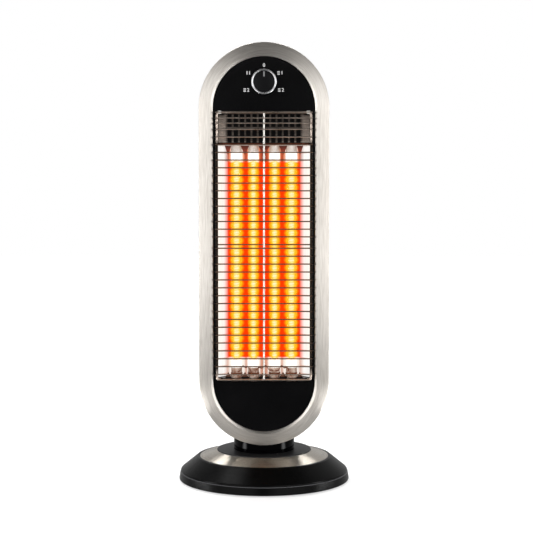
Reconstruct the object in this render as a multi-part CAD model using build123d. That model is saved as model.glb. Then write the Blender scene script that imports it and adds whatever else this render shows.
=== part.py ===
from build123d import *
import math
import os

# Tower heater with four carbon tubes on a round swinging base. Millimetres, +Z up.
# The origin is on the floor, on the swing axis. The front faces -Y.

# Front frame: an upright racetrack ring
FRAME_R = 104.0
FRAME_BAND = 22.5
ARC_LOW_Z = 169.5
ARC_HIGH_Z = 605.5
FRAME_CREST_Y = -62.0
FRAME_BACK_Y = -50.0
SHEET = 1.6

# Housing behind the frame
HOUSING_R = 103.8
HOUSING_WALL = 2.5
SPLIT_Y = 12.0
HOUSING_BACK_Y = 60.0
BACK_EDGE_R = 26.0

# Black fascia with the heating window
FASCIA_Y = -56.0
FASCIA_WALL = 2.5
WINDOW_HALF = 77.0
WINDOW_LOW_Z = 168.0
WINDOW_HIGH_Z = 600.5

# Knob and rotary switch
KNOB_Z = 646.0
KNOB_R = 20.1
KNOB_RING_IN_R = 17.2
KNOB_FRONT_Y = -70.5
SHAFT_R = 3.0
RUNNING = 0.05

# Wire guard
GUARD_ROD_Y = -62.5
GUARD_ROD_R = 1.8
WIRE_R = 1.0
GUARD_HALF = 74.8
GUARD_LOW_Z = 171.0
GUARD_HIGH_Z = 597.9
LEG_X = 79.6
SOCKET_Y = -57.5

# Heating tubes and reflector
TUBE_X = (-44.3, -17.0, 17.0, 44.3)
TUBE_Y = -40.0
TUBE_R = 8.75
TUBE_WALL = 1.25
TUBE_LOW_Z = 189.0
TUBE_HIGH_Z = 537.0
LIT_LOW_Z = 204.0
LIT_HIGH_Z = 521.0
CAP_LENGTH = 23.0
REFLECTOR_VALLEY_Y = -22.0
REFLECTOR_RIDGE_Y = -28.0
REFLECTOR_HALF = 60.5
ROOF_Z = 547.0
TRAY_Z = 173.0
PLATE_Y = -52.0

# Base
BASE_R = 140.0
RING_OUT_R = 105.9
RING_IN_R = 77.6
DISC_TOP_Z = 50.0
NECK_R = 49.8
NECK_FLOOR_Z = 50.3
SPIGOT_R = 28.0
SPIGOT_BORE_R = 15.0
PLATE_TOP_Z = 4.5
PLATE_LOW_Z = 3.0
POST_R = 5.0
POST_CIRCLE_R = 78.0
FOOT_CIRCLE_R = 118.0

# Swing drive: the crank turns a quarter turn while the head swings to its limit
SWING_LIMIT = 35.0
DRIVE_PIN_X = 26.0
LINK_LENGTH = 56.0
CRANK_R = DRIVE_PIN_X * math.sin(math.radians(SWING_LIMIT))
MOTOR_X = DRIVE_PIN_X - CRANK_R
MOTOR_Y = LINK_LENGTH

# Anti-tip switch
TIP_Y = -62.0
PLUNGER_R = 4.0


def outline(corners, plane=Plane.XZ):
    """A closed face from (across, up, corner radius) triples."""
    points = [(across, up) for across, up, _ in corners]
    radii = [radius for _, _, radius in corners]
    return plane * make_face(FilletPolyline(*points, radius=radii, close=True))


def turned(corners):
    """A body turned about the upright axis from (radius, height, corner radius)."""
    return revolve(outline(corners), Axis.Z)


def turned_about_y(corners, z):
    """A body turned about a front-to-back axis at height z, from (radius, y, corner radius)."""
    return Pos(0, 0, z) * revolve(outline(corners, Plane.XY), Axis.Y)


def upright(radius, low_z, high_z, x=0.0, y=0.0):
    """An upright cylinder between two heights."""
    return Pos(x, y, low_z) * Cylinder(radius, high_z - low_z, align=(Align.CENTER, Align.CENTER, Align.MIN))


def tube(outer, inner, low_z, high_z, x=0.0, y=0.0):
    """An upright hollow cylinder."""
    return upright(outer, low_z, high_z, x, y) - upright(inner, low_z - 1, high_z + 1, x, y)


def lying(radius, front_y, back_y, x, z):
    """A cylinder that runs front to back."""
    rod = Cylinder(radius, back_y - front_y)
    return Pos(x, (front_y + back_y) / 2, z) * Rot(90, 0, 0) * rod


def block(x0, x1, y0, y1, z0, z1):
    """A box between two corners."""
    box = Box(x1 - x0, y1 - y0, z1 - z0)
    return Pos((x0 + x1) / 2, (y0 + y1) / 2, (z0 + z1) / 2) * box


def round_bar(points, bend, radius):
    """A round bar or wire along straight runs with bends."""
    path = FilletPolyline(*points, radius=bend) if bend else Polyline(*points)
    section = Plane(origin=path @ 0, z_dir=path % 0) * Circle(radius)
    return sweep(section, path=path)


def racetrack(radius, front_y, back_y):
    """An upright plate with round ends about the two arc centres."""
    shape = SlotCenterToCenter(ARC_HIGH_Z - ARC_LOW_Z, 2 * radius, rotation=90)
    plate = extrude(Plane.XZ * shape, amount=back_y - front_y)
    return Pos(0, back_y, (ARC_LOW_Z + ARC_HIGH_Z) / 2) * plate


def racetrack_trim(section):
    """A trim of constant section, drawn at the right-hand side, round the whole racetrack."""
    side = extrude(section, amount=ARC_HIGH_Z - ARC_LOW_Z)
    low_arc = revolve(section, Axis.Y, 180)
    ends = Pos(0, 0, ARC_LOW_Z) * low_arc + Pos(0, 0, ARC_HIGH_Z) * mirror(low_arc, Plane.XY)
    sides = Pos(0, 0, ARC_LOW_Z) * (side + mirror(side, Plane.YZ))
    return ends + sides


def around(count, radius, start=0.0):
    """Points evenly spaced on a circle."""
    step = 360.0 / count
    angles = [math.radians(start + step * i) for i in range(count)]
    return [(radius * math.cos(a), radius * math.sin(a)) for a in angles]


def group(pieces):
    """Like pieces that stay separate solids in one node."""
    return Compound(children=[solid for piece in pieces for solid in piece.solids()])


# Base pieces

SKIRT_LOW_Z = 2.0
SEAT_DROP = 1.2
RING_LOW_Z = 39.3
RING_HIGH_Z = 48.6
LEDGE_Z = 46.0
LEDGE_IN_R = 60.0
ROOF_INNER_Z = 43.5
PAD_Y = 134.5
GLAND_Z = 11.2
GLAND_R = 5.0


def skirt_outside():
    """Filled outer form of the base shell: rim band, groove, shoulder, slope and flat top rim."""
    return turned([
        (0, SKIRT_LOW_Z, 0),
        (BASE_R - 0.6, SKIRT_LOW_Z, 0),
        (BASE_R, 3.2, 0.6),
        (138.3, 14.2, 1.2),
        (137.0, 14.9, 0),
        (137.6, 15.7, 0.3),
        (136.9, 17.6, 3.0),
        (109.8, 39.4, 3.0),
        (106.2, 39.4, 0.3),
        (106.2, RING_LOW_Z - SEAT_DROP, 0),
        (RING_IN_R, RING_HIGH_Z - SEAT_DROP, 0),
        (RING_IN_R, LEDGE_Z, 0),
        (0, LEDGE_Z, 0),
    ])


def skirt_inside():
    """Hollow of the base shell."""
    return turned([
        (0, SKIRT_LOW_Z - 1, 0),
        (137.1, SKIRT_LOW_Z - 1, 0),
        (134.4, 15.2, 0),
        (108.0, 36.2, 0),
        (104.0, 36.2, 0),
        (80.0, ROOF_INNER_Z, 0),
        (0, ROOF_INNER_Z, 0),
    ])


def base_skirt():
    outside = skirt_outside()
    shell = outside - skirt_inside() - upright(LEDGE_IN_R, 40, 50)
    posts = [upright(POST_R, PLATE_TOP_Z, ROOF_INNER_Z + 1, x, y) for x, y in around(4, POST_CIRCLE_R, 45)]
    pad = outside & block(-14, 14, 130, 136, PLATE_TOP_Z, 22)
    shell = shell + posts + pad
    shell = shell - block(-11, 11, PAD_Y, BASE_R + 5, 5.0, 21.0)
    shell = shell - lying(GLAND_R, 120, 145, 0, GLAND_Z)
    for x, y in around(4, POST_CIRCLE_R, 45):
        shell = shell - upright(1.7, 4, 16, x, y)
    for x, y in around(4, 68, 0):
        shell = shell - upright(1.6, 40, 50, x, y)
    return shell


def cable_gland():
    """Rubber bush in the shell's rear pocket, bored for a 7 mm cord."""
    bush = lying(GLAND_R, 127, 137.4, 0, GLAND_Z)
    bush = bush + lying(5.9, PAD_Y, 137.4, 0, GLAND_Z) + lying(6.2, 127, 130, 0, GLAND_Z)
    return bush - lying(3.6, 120, 140, 0, GLAND_Z)


def base_plate():
    """Steel bottom plate with holes for the screws and the anti-tip plunger."""
    plate = upright(136.2, PLATE_LOW_Z, PLATE_TOP_Z)
    for x, y in around(4, POST_CIRCLE_R, 45):
        plate = plate - upright(1.9, 0, 6, x, y)
    return plate - upright(PLUNGER_R + 0.5, 0, 6, 0, TIP_Y)


def base_screws():
    heads = [upright(3.6, 1.4, PLATE_LOW_Z, x, y) for x, y in around(4, POST_CIRCLE_R, 45)]
    shanks = [upright(1.65, PLATE_LOW_Z, 15, x, y) for x, y in around(4, POST_CIRCLE_R, 45)]
    return group([head + shank for head, shank in zip(heads, shanks)])


def ballast_ring():
    """Cast iron weight on the bottom plate, open at the back for the lead."""
    ring = turned([(86, PLATE_TOP_Z, 0), (124, PLATE_TOP_Z, 0), (124, 15, 1.5), (86, 15, 1.5)])
    return ring - block(-32, 18, 50, 130, 0, 20)


def rubber_feet():
    corners = [(0, 0, 0), (9.0, 0, 1.0), (10.0, PLATE_LOW_Z, 0), (0, PLATE_LOW_Z, 0)]
    return group([Pos(x, y, 0) * turned(corners) for x, y in around(4, FOOT_CIRCLE_R, 45)])


def trim_ring():
    """Brushed metal cone round the top of the base, with a rolled outer edge."""
    return turned([
        (RING_OUT_R, RING_LOW_Z - SEAT_DROP + 0.1, 0),
        (RING_OUT_R, RING_LOW_Z, 0.7),
        (RING_IN_R, RING_HIGH_Z, 0.3),
        (RING_IN_R, RING_HIGH_Z - SEAT_DROP + 0.1, 0),
    ])


BUSH_R = 31.0
BUSH_FLANGE_R = 40.0
BOSS_LOW_Z = 36.0


def top_disc():
    """Black disc that closes the base, with a boss for the swing bush."""
    disc = turned([
        (BUSH_R, BOSS_LOW_Z, 0),
        (BUSH_FLANGE_R, BOSS_LOW_Z, 0),
        (BUSH_FLANGE_R, LEDGE_Z, 0),
        (77.4, LEDGE_Z, 0),
        (77.4, DISC_TOP_Z, 1.2),
        (BUSH_FLANGE_R, DISC_TOP_Z, 0),
        (BUSH_FLANGE_R, 47.2, 0),
        (BUSH_R, 47.2, 0),
    ])
    for x, y in around(4, 68, 0):
        disc = disc - upright(1.5, 40, 48.5, x, y)
    return disc


def disc_screws():
    heads = [upright(3.2, 41.4, ROOF_INNER_Z, x, y) for x, y in around(4, 68, 0)]
    shanks = [upright(1.45, ROOF_INNER_Z, 48, x, y) for x, y in around(4, 68, 0)]
    return group([head + shank for head, shank in zip(heads, shanks)])


def neck_bush():
    """Flanged plastic bush that carries and centres the swinging neck."""
    return turned([
        (SPIGOT_R + 0.06, BOSS_LOW_Z, 0),
        (BUSH_R, BOSS_LOW_Z, 0),
        (BUSH_R, 47.2, 0),
        (BUSH_FLANGE_R, 47.2, 0),
        (BUSH_FLANGE_R, NECK_FLOOR_Z - 0.05, 0),
        (SPIGOT_R + 0.06, NECK_FLOOR_Z - 0.05, 0),
    ])


# Swing drive

MOTOR_R = 24.0
MOTOR_TOP_Z = 20.0
EAR_X = 31.0
MOTOR_SHAFT_R = 2.5
CRANK_LOW_Z = 22.8
CRANK_TOP_Z = 25.6
LINK_LOW_Z = 28.0
LINK_TOP_Z = 30.0


def swing_motor():
    """Flat synchronous gear motor with two ears and a raised boss."""
    body = upright(MOTOR_R, PLATE_TOP_Z, MOTOR_TOP_Z)
    ears = block(-EAR_X - 4, EAR_X + 4, -6, 6, PLATE_TOP_Z, MOTOR_TOP_Z - 5)
    body = body + ears + upright(6, MOTOR_TOP_Z, MOTOR_TOP_Z + 1.5)
    for side in (-1, 1):
        body = body - upright(1.8, 0, 30, side * EAR_X, 0)
    body = body - upright(MOTOR_SHAFT_R + RUNNING, 12, 30)
    return Pos(MOTOR_X, MOTOR_Y, 0) * body


def motor_screws():
    top = MOTOR_TOP_Z - 5
    screws = []
    for side in (-1, 1):
        x = MOTOR_X + side * EAR_X
        screws.append(upright(3.4, top, top + 2.4, x, MOTOR_Y) + upright(1.7, PLATE_TOP_Z, top, x, MOTOR_Y))
    return group(screws)


def motor_shaft():
    return upright(MOTOR_SHAFT_R, 13, CRANK_TOP_Z, MOTOR_X, MOTOR_Y)


def crank_arm():
    """Arm on the motor shaft. Its pin stops short of the link, where the linkage is open."""
    pin_x = MOTOR_X + CRANK_R
    arm = block(MOTOR_X, pin_x, MOTOR_Y - 4, MOTOR_Y + 4, CRANK_LOW_Z, CRANK_TOP_Z)
    arm = arm + upright(6, CRANK_LOW_Z - 1, CRANK_TOP_Z, MOTOR_X, MOTOR_Y)
    arm = arm + upright(4, CRANK_LOW_Z, CRANK_TOP_Z, pin_x, MOTOR_Y)
    arm = arm + upright(2.4, CRANK_TOP_Z, LINK_LOW_Z - 0.4, pin_x, MOTOR_Y)
    return arm - upright(MOTOR_SHAFT_R, 15, 30, MOTOR_X, MOTOR_Y)


def link_rod():
    """Flat link from the crank to the turntable's drive pin, with an eye at each end."""
    bar = block(DRIVE_PIN_X - 3.5, DRIVE_PIN_X + 3.5, 0, LINK_LENGTH, LINK_LOW_Z, LINK_TOP_Z)
    bar = bar + upright(6, LINK_LOW_Z, LINK_TOP_Z, DRIVE_PIN_X, 0)
    bar = bar + upright(6, LINK_LOW_Z, LINK_TOP_Z, DRIVE_PIN_X, LINK_LENGTH)
    bar = bar - upright(SHAFT_R + RUNNING, 20, 35, DRIVE_PIN_X, 0)
    return bar - upright(2.6, 20, 35, DRIVE_PIN_X, LINK_LENGTH)


TABLE_LOW_Z = 33.4
TABLE_TOP_Z = 35.7


def turntable_plate():
    """Steel plate under the disc that holds the neck down, with the drive pin."""
    plate = upright(46, TABLE_LOW_Z, TABLE_TOP_Z) - upright(SPIGOT_BORE_R, 30, 40)
    for x, y in around(3, 21.5, 60):
        plate = plate - upright(2.0, 30, 40, x, y)
    return plate + upright(SHAFT_R, 26.2, TABLE_LOW_Z, DRIVE_PIN_X, 0)


def turntable_screws():
    screws = []
    for x, y in around(3, 21.5, 60):
        screws.append(upright(3.6, 31.2, TABLE_LOW_Z, x, y) + upright(1.9, TABLE_LOW_Z, 44, x, y))
    return group(screws)


def link_clip():
    """Retaining ring under the link, on the drive pin."""
    return tube(5.5, SHAFT_R, 26.8, 27.6, DRIVE_PIN_X, 0)


# Anti-tip switch

TIP_TOP_Z = 26.0
PLUNGER_TOP_Z = 12.0
SPRING_TOP_Z = 22.0


def tip_switch_body():
    body = block(-11, 11, TIP_Y - 8, TIP_Y + 8, PLATE_TOP_Z, TIP_TOP_Z)
    return body - upright(PLUNGER_R + 0.08, 0, SPRING_TOP_Z, 0, TIP_Y)


def tip_plunger():
    corners = [(0, 0, 0), (PLUNGER_R - 1, 0, 0), (PLUNGER_R, 1, 0.4), (PLUNGER_R, PLUNGER_TOP_Z, 0.4)]
    return Pos(0, TIP_Y, 0) * turned(corners + [(0, PLUNGER_TOP_Z, 0)])


def tip_spring():
    wire_r = 0.4
    low = PLUNGER_TOP_Z + wire_r
    high = SPRING_TOP_Z - wire_r
    path = Helix(pitch=2.0, height=high - low, radius=PLUNGER_R - 1.0, center=(0, TIP_Y, low))
    section = Plane(origin=path @ 0, z_dir=path % 0) * Circle(wire_r)
    return sweep(section, path=path, is_frenet=True)


# Wiring in the base

BLOCK_X = -52.0
BLOCK_Y = 30.0


def terminal_block():
    body = block(BLOCK_X - 13, BLOCK_X + 13, BLOCK_Y - 9, BLOCK_Y + 9, PLATE_TOP_Z, 17)
    for i in range(3):
        body = body - upright(2.2, 12, 20, BLOCK_X - 8 + 8 * i, BLOCK_Y - 3)
    return body


def base_wiring():
    """Sheathed leads: from the swing axis, and from the gland, to the terminal block."""
    side_x = BLOCK_X + 13
    lead_x = BLOCK_X + 8
    end_y = BLOCK_Y + 9
    core = round_bar([(0, 0, 25.5), (0, 0, 9), (-20, BLOCK_Y - 4, 9), (side_x, BLOCK_Y - 4, 9)], 7, 2.5)
    lead = round_bar(
        [
            (0, 127, GLAND_Z),
            (0, 104, GLAND_Z),
            (-30, 74, GLAND_Z),
            (lead_x, end_y + 16, GLAND_Z),
            (lead_x, end_y, GLAND_Z),
        ],
        9,
        3.4,
    )
    return group([core, lead])


# Head shell

def housing_outside():
    """Filled outer form of the head behind the frame."""
    body = racetrack(HOUSING_R, FRAME_BACK_Y, HOUSING_BACK_Y)
    back_face = body.faces().sort_by(Axis.Y)[-1]
    return fillet(back_face.edges(), BACK_EDGE_R)


def housing_inside():
    body = racetrack(HOUSING_R - HOUSING_WALL, FRAME_BACK_Y - 1, HOUSING_BACK_Y - HOUSING_WALL)
    back_face = body.faces().sort_by(Axis.Y)[-1]
    return fillet(back_face.edges(), BACK_EDGE_R - HOUSING_WALL)


OUTSIDE = housing_outside()
INSIDE = housing_inside()
NECK_SCREW_POINTS = [(x, y) for x in (-30, 30) for y in (-28, 2)]
LEDGE_FRONT_Y = -47.5


def mid_housing():
    """Front half of the black shell, with the ledge that the fascia sits on and the neck bosses."""
    front = block(-120, 120, -80, SPLIT_Y, 0, 800)
    shell = (OUTSIDE - INSIDE) & front
    ledge = racetrack(HOUSING_R - HOUSING_WALL, LEDGE_FRONT_Y, -45) - racetrack(92, -60, 0)
    bosses = [upright(POST_R, 60, 90, x, y) & OUTSIDE for x, y in NECK_SCREW_POINTS]
    shell = shell + ledge + bosses
    for x, y in NECK_SCREW_POINTS:
        shell = shell - upright(1.9, 40, 86, x, y)
    return shell - upright(3.2, 60, 80)


VENT_ROWS = 9
VENT_PITCH = 9.0
VENT_HEIGHT = 4.2
VENT_HALF = 56.0
VENT_STARTS = (152.0, 480.0)
HANDLE_HALF = 55.0
HANDLE_LOW_Z = 614.0
HANDLE_HIGH_Z = 648.0
HANDLE_FLOOR_Y = 34.0
COVER_SCREW_POINTS = [(x, z) for x in (-66, 66) for z in (186, 387, 588)]
SCREW_SEAT_Y = 50.0
SHIELD_BACK_Y = 4.0


def rear_slot(z, height, depth):
    """A round-ended slot cut in from the back."""
    shape = SlotOverall(2 * VENT_HALF, height)
    return Pos(0, HOUSING_BACK_Y + 1, z) * extrude(Plane.XZ * shape, amount=depth)


def back_cover():
    """Rear half of the black shell, with vent slots, a carrying recess and screw posts."""
    rear = block(-120, 120, SPLIT_Y, 80, 0, 800)
    shell = (OUTSIDE - INSIDE) & rear
    cup = block(
        -HANDLE_HALF - 2.5, HANDLE_HALF + 2.5, HANDLE_FLOOR_Y - 2.5, HOUSING_BACK_Y - 1,
        HANDLE_LOW_Z - 2.5, HANDLE_HIGH_Z + 2.5,
    )
    shell = shell + cup
    shell = shell + [lying(6.5, SHIELD_BACK_Y, HOUSING_BACK_Y - 1, x, z) for x, z in COVER_SCREW_POINTS]
    recess = block(-HANDLE_HALF, HANDLE_HALF, HANDLE_FLOOR_Y, 80, HANDLE_LOW_Z, HANDLE_HIGH_Z)
    shell = shell - fillet(recess.edges().filter_by(Axis.Y), 9)
    for x, z in COVER_SCREW_POINTS:
        shell = shell - lying(4.4, SCREW_SEAT_Y, 80, x, z) - lying(2.0, 0, 80, x, z)
    for start in VENT_STARTS:
        slots = [rear_slot(start + VENT_PITCH * i, VENT_HEIGHT, 6) for i in range(VENT_ROWS)]
        shell = shell - slots
    return shell


def cover_screws():
    screws = []
    for x, z in COVER_SCREW_POINTS:
        head = lying(3.9, SCREW_SEAT_Y, SCREW_SEAT_Y + 2.6, x, z)
        head = head - block(x - 3, x + 3, SCREW_SEAT_Y + 1.2, 60, z - 0.5, z + 0.5)
        head = head - block(x - 0.5, x + 0.5, SCREW_SEAT_Y + 1.2, 60, z - 3, z + 3)
        screws.append(head + lying(1.9, 1, SCREW_SEAT_Y, x, z))
    return group(screws)


def front_frame():
    """Brushed metal ring: folded sheet with a crowned face and a bright inner bevel."""
    inner = FRAME_R - FRAME_BAND
    section = outline([
        (FRAME_R, FRAME_BACK_Y, 0),
        (FRAME_R, -59.6, 1.4),
        (FRAME_R - 10, -61.7, 50),
        (inner + 3.7, FRAME_CREST_Y, 0.8),
        (inner, -59.8, 0.5),
        (inner, FRAME_BACK_Y, 0),
        (inner + SHEET, FRAME_BACK_Y, 0),
        (inner + SHEET, -58.9, 0),
        (inner + 4.0, -60.4, 0),
        (FRAME_R - 10.2, -60.1, 48),
        (FRAME_R - SHEET, -58.4, 0),
        (FRAME_R - SHEET, FRAME_BACK_Y, 0),
    ], Plane.XY)
    return racetrack_trim(section)


FASCIA_R = 81.3
LUG_X = 70.5


def front_fascia():
    """Black moulding inside the frame: two domes, narrow side borders and the window."""
    plate = racetrack(FASCIA_R, FASCIA_Y, FRAME_BACK_Y)
    plate = plate - racetrack(FASCIA_R - FASCIA_WALL, FASCIA_Y + FASCIA_WALL, FRAME_BACK_Y + 1)
    flange = racetrack(100.8, FRAME_BACK_Y, LEDGE_FRONT_Y) - racetrack(FASCIA_R - FASCIA_WALL, -60, 0)
    surround = block(-79, 79, FASCIA_Y, FRAME_BACK_Y, WINDOW_LOW_Z - 2.5, WINDOW_HIGH_Z + 2.5)
    body = plate + flange + surround
    body = body - block(-WINDOW_HALF, WINDOW_HALF, -60, -40, WINDOW_LOW_Z, WINDOW_HIGH_Z)
    for side in (-1, 1):
        for z in (GUARD_LOW_Z, GUARD_HIGH_Z):
            near, far = sorted((side * (LUG_X - 4), side * WINDOW_HALF))
            low, high = (WINDOW_LOW_Z, z + 3.5) if z < 300 else (z - 3.5, WINDOW_HIGH_Z)
            body = body + block(near, far, FASCIA_Y, -53, low, high)
    return body - lying(5.0, -60, -45, 0, KNOB_Z)


# Rotary switch and knob

SWITCH_FRONT_Y = FASCIA_Y + FASCIA_WALL


def switch_body():
    """Rotary switch behind the fascia, with a threaded neck through it and six blade contacts."""
    body = block(-16, 16, SWITCH_FRONT_Y, -28, KNOB_Z - 14, KNOB_Z + 14)
    body = body + lying(5.0, -61, SWITCH_FRONT_Y, 0, KNOB_Z)
    for x in (-10, 0, 10):
        for z in (-8, 8):
            body = body + block(x - 2.4, x + 2.4, -28, -20, KNOB_Z + z - 0.4, KNOB_Z + z + 0.4)
    return body - lying(SHAFT_R + RUNNING, -62, -42, 0, KNOB_Z)


def switch_nut():
    hexagon = Plane.XZ * RegularPolygon(6.5, 6, major_radius=False)
    nut = Pos(0, FASCIA_Y, KNOB_Z) * extrude(hexagon, amount=2.4)
    return nut - lying(5.0, -62, -50, 0, KNOB_Z)


def switch_shaft():
    return lying(SHAFT_R, -67, -43, 0, KNOB_Z)


def knob_body():
    """Hollow black knob with a hub that grips the shaft."""
    return turned_about_y([
        (SHAFT_R, -66.9, 0),
        (SHAFT_R, -61.6, 0),
        (5.6, -61.6, 0),
        (5.6, -64.6, 0),
        (17.4, -64.6, 0),
        (17.4, -56.8, 0),
        (19.4, -56.8, 0.4),
        (19.7, -67.4, 0.3),
        (16.9, -67.4, 0),
        (16.9, -66.9, 0),
    ], KNOB_Z)


def knob_ring():
    """Bright ring round the knob's face."""
    return turned_about_y([
        (KNOB_RING_IN_R, -67.4, 0),
        (KNOB_R, -67.4, 0.3),
        (KNOB_R, -69.6, 0.9),
        (18.6, KNOB_FRONT_Y, 1.2),
        (KNOB_RING_IN_R, -69.9, 0.4),
    ], KNOB_Z)


def knob_cap():
    """Slightly domed dark face with a raised pointer bar."""
    cap = turned_about_y([
        (0, -67.0, 0),
        (16.8, -67.0, 0),
        (16.8, -69.3, 0.4),
        (9.0, -69.9, 20),
        (0, -70.1, 0),
    ], KNOB_Z)
    bar = block(-1.6, 1.6, -70.5, -68, KNOB_Z + 6.5, KNOB_Z + 16.4)
    return cap + bar


# Heater group

def vent_plate():
    """Brushed steel plate above the tubes with two rows of upright slots."""
    half = 61.0
    front = [(-WINDOW_HALF, -47.5), (-half, PLATE_Y), (half, PLATE_Y), (WINDOW_HALF, -47.5)]
    back = [(x, y + 1.0) for x, y in reversed(front)]
    plate = extrude(make_face(Polyline(*front, *back, close=True)), amount=WINDOW_HIGH_Z - ROOF_Z - 0.5)
    plate = Pos(0, 0, ROOF_Z + 0.2) * plate
    pitch, width, height = 10.0, 7.0, 20.5
    slots = []
    for row_z in (561.3, 585.8):
        for i in range(12):
            x = pitch * (i - 5.5)
            slots.append(block(x - width / 2, x + width / 2, -60, -45, row_z - height / 2, row_z + height / 2))
    return plate - slots


def reflector():
    """Polished sheet with a hollow flute behind each tube and two splayed wings."""
    thickness = 1.0
    valley = REFLECTOR_VALLEY_Y
    ridge = REFLECTOR_RIDGE_Y
    ridges = (-REFLECTOR_HALF, -30.6, 0.0, 30.6, REFLECTOR_HALF)

    def profile(shift):
        edges = [Line((-75.5, -46.5 + shift), (-REFLECTOR_HALF, ridge + shift))]
        for left, right in zip(ridges, ridges[1:]):
            middle = ((left + right) / 2, valley + shift)
            edges.append(ThreePointArc((left, ridge + shift), middle, (right, ridge + shift)))
        edges.append(Line((REFLECTOR_HALF, ridge + shift), (75.5, -46.5 + shift)))
        return edges

    front = profile(0)
    back = profile(thickness)
    ends = [Line(front[0] @ 0, back[0] @ 0), Line(front[-1] @ 1, back[-1] @ 1)]
    sheet = extrude(make_face(front + back + ends), amount=ROOF_Z - TRAY_Z - 2)
    return Pos(0, 0, TRAY_Z + 1) * sheet


TONGUE_Y = -49.6


def tab(x, base_z, tip_z, half_width):
    """A pointed tongue bent down or up from a bracket's front edge, in front of the tubes."""
    points = [(x - half_width, base_z), (x + half_width, base_z), (x, tip_z)]
    face = Plane.XZ * make_face(Polyline(*points, close=True))
    return Pos(0, TONGUE_Y, 0) * extrude(face, amount=0.8)


def tube_bracket(level_z, tip_z):
    """Sheet with a hole for each tube, and tongues between the tubes that steady them."""
    sheet = block(-75, 75, -50.5, -20, level_z - 0.8, level_z)
    for x in TUBE_X:
        sheet = sheet - upright(TUBE_R + 0.3, level_z - 5, level_z + 5, x, TUBE_Y)
    start = level_z - 0.4
    for x, half_width in ((-57.5, 5.5), (-30.6, 7.0), (0, 10.0), (30.6, 7.0), (57.5, 5.5)):
        sheet = sheet + tab(x, start, tip_z, half_width)
    return sheet


def quartz_tube(x):
    return tube(TUBE_R, TUBE_R - TUBE_WALL, TUBE_LOW_Z, TUBE_HIGH_Z, x, TUBE_Y)


def carbon_filament(x):
    """Wound carbon rope with a thin lead at each end."""
    rope = upright(3.4, LIT_LOW_Z, LIT_HIGH_Z, x, TUBE_Y)
    return rope + upright(0.9, TUBE_LOW_Z, TUBE_HIGH_Z, x, TUBE_Y)


def end_caps(low_z, flange_z):
    caps = []
    for x in TUBE_X:
        cap = upright(TUBE_R, low_z, low_z + CAP_LENGTH, x, TUBE_Y)
        caps.append(cap + upright(6.6, flange_z, flange_z + 3, x, TUBE_Y))
    return group(caps)


def busbars():
    """Steel strips that join the tube ends, above the upper caps and below the lower ones."""
    high = TUBE_HIGH_Z + CAP_LENGTH + 3
    low = TUBE_LOW_Z - CAP_LENGTH - 3
    upper = block(-52, 52, TUBE_Y - 4, TUBE_Y + 4, high, high + 1)
    lower = block(-52, 52, TUBE_Y - 4, TUBE_Y + 4, low - 1, low)
    return group([upper, lower])


def heat_shield():
    """Folded sheet steel channel behind the reflector."""
    outside = block(-86, 86, -44, SHIELD_BACK_Y, 150, 606)
    shield = outside - block(-85.2, 85.2, -50, SHIELD_BACK_Y - 0.8, 140, 620)
    for x, z in COVER_SCREW_POINTS:
        shield = shield - lying(2.1, -10, 10, x, z)
    return shield


def head_wiring():
    """Two sheathed looms: switch to the upper busbar, and lower busbar down through the neck."""
    upper = round_bar([(10, -19.5, KNOB_Z - 8), (10, -12, KNOB_Z - 8), (10, -12, 575),
                       (10, TUBE_Y + 4, 575)], 5, 2.2)
    lower = round_bar([(0, TUBE_Y + 4, 157), (0, -14, 157), (0, -14, 120), (0, 0, 95), (0, 0, 26)], 8, 2.5)
    return group([upper, lower])


def thermal_cutout():
    """Round bimetal cutout on the heat shield."""
    disc = lying(8, -4.5, SHIELD_BACK_Y - 0.8, 0, 560)
    return disc + lying(4, -7, -4.5, 0, 560)


# Wire guard

def guard_half(side):
    """Half of the loop, from the middle of its top to the middle of its bottom."""
    points = [
        (0, GUARD_ROD_Y, GUARD_HIGH_Z),
        (side * GUARD_HALF, GUARD_ROD_Y, GUARD_HIGH_Z),
        (side * GUARD_HALF, GUARD_ROD_Y, GUARD_LOW_Z),
        (0, GUARD_ROD_Y, GUARD_LOW_Z),
    ]
    return round_bar(points, 5, GUARD_ROD_R)


def guard_centre_rod():
    radius = 1.5
    return upright(radius, GUARD_LOW_Z + GUARD_ROD_R, GUARD_HIGH_Z - GUARD_ROD_R, 0, GUARD_ROD_Y - 0.3)


def wire_heights():
    """Heights of the cross wires, from the close-set top ones down."""
    top = [597.9, 588.7, 580.6]
    upper = [570.9 - 12.18 * i for i in range(15)]
    lower = [382.2 - 12.6 * i for i in range(17)]
    return top + upper + lower


WIRE_Y = GUARD_ROD_Y - GUARD_ROD_R - WIRE_R


def guard_cross_wires():
    """Staple-shaped wires across the front, and one straight stiffener behind the rods."""
    bend = 2.6
    wires = []
    for z in wire_heights():
        points = [(-LEG_X, SOCKET_Y, z), (-LEG_X, WIRE_Y, z), (LEG_X, WIRE_Y, z), (LEG_X, SOCKET_Y, z)]
        wires.append(round_bar(points, bend, WIRE_R))
    brace_y = GUARD_ROD_Y + GUARD_ROD_R + WIRE_R
    wires.append(round_bar([(-WINDOW_HALF + 1, brace_y, 387.9), (WINDOW_HALF - 1, brace_y, 387.9)], 0, WIRE_R))
    return group(wires)


def wire_sockets():
    """Small black collars on the fascia's borders where the wire ends go in."""
    return group([lying(1.6, SOCKET_Y, FASCIA_Y, x, z) for z in wire_heights() for x in (-LEG_X, LEG_X)])


def guard_lugs():
    """Short posts that hold the guard's loop off the fascia at its corners."""
    back_y = FASCIA_Y
    front_y = GUARD_ROD_Y + GUARD_ROD_R
    return group([lying(2.3, front_y, back_y, x, z)
                  for x in (-LUG_X, LUG_X) for z in (GUARD_LOW_Z, GUARD_HIGH_Z)])


# Neck

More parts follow.
